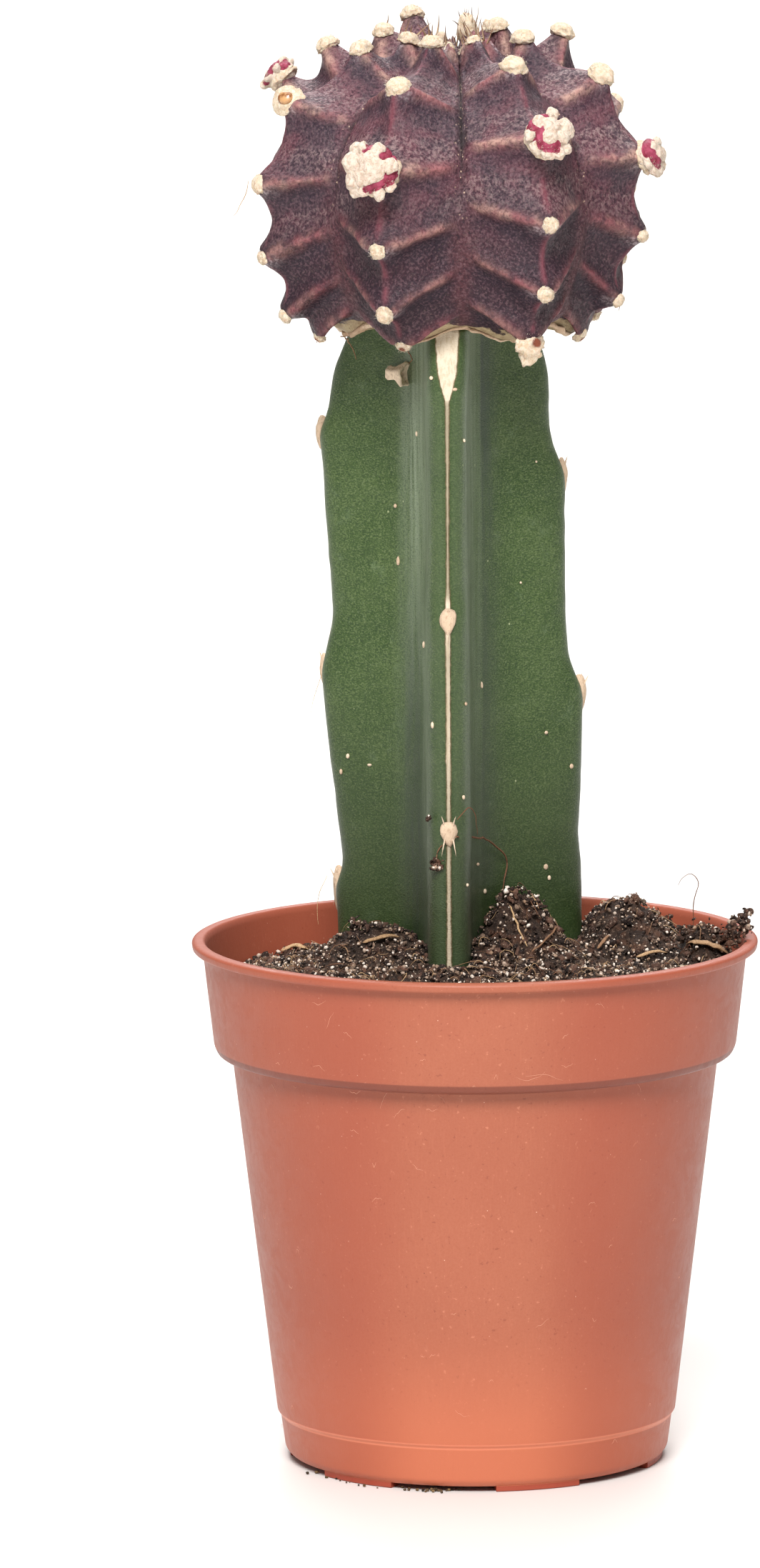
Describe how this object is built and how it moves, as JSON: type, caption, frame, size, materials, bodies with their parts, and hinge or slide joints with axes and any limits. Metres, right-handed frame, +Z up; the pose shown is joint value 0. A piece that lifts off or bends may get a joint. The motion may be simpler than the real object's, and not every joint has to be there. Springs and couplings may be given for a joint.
{
  "type": "potted moon cactus",
  "caption": "Small grafted cactus: a dark ribbed round head on a three-winged green stem, standing in soil in a tapered plastic nursery pot.",
  "frame": {"origin": "centre of the pot's foot, at the bottom of the object", "axes": "+Z up along the pot's axis, -Y towards the front of the plant"},
  "size_m": [0.065, 0.065, 0.1677],
  "materials": {
    "pot_plastic": "terracotta-orange moulded plastic with a soft sheen",
    "soil_mix": "loose dark potting mix with pale grains",
    "stem_skin": "waxy green stem skin",
    "head_skin": "dark purple-brown wrinkled skin with cream wool"
  },
  "bodies": {
    "root": {"pot": "pot_plastic", "soil": "soil_mix", "rootstock": "stem_skin", "scion": "head_skin"}
  },
  "joints": []
}
